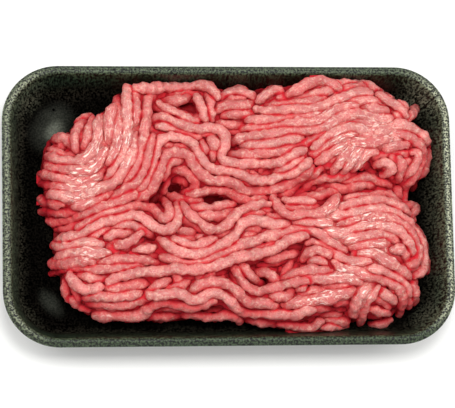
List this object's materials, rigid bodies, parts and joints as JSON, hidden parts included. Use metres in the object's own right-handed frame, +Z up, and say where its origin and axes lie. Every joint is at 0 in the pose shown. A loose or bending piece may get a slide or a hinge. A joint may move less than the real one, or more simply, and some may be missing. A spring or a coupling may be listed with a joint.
{
  "type": "meat tray pack",
  "caption": "Open black foam tray with round corners and sloping walls, filled with a folded heap of raw pink minced meat strands.",
  "frame": {"origin": "on the ground under the middle of the tray", "axes": "+X along the tray's long side, +Y across it to the rear, +Z up"},
  "size_m": [0.225, 0.1404, 0.0285],
  "materials": {
    "foam": "black expanded polystyrene foam with a fine-grained, slightly shiny skin",
    "meat": "raw pink minced meat, moist, with pale fat smears"
  },
  "bodies": {
    "root": {"tray": "foam", "mince": "meat"}
  },
  "joints": []
}
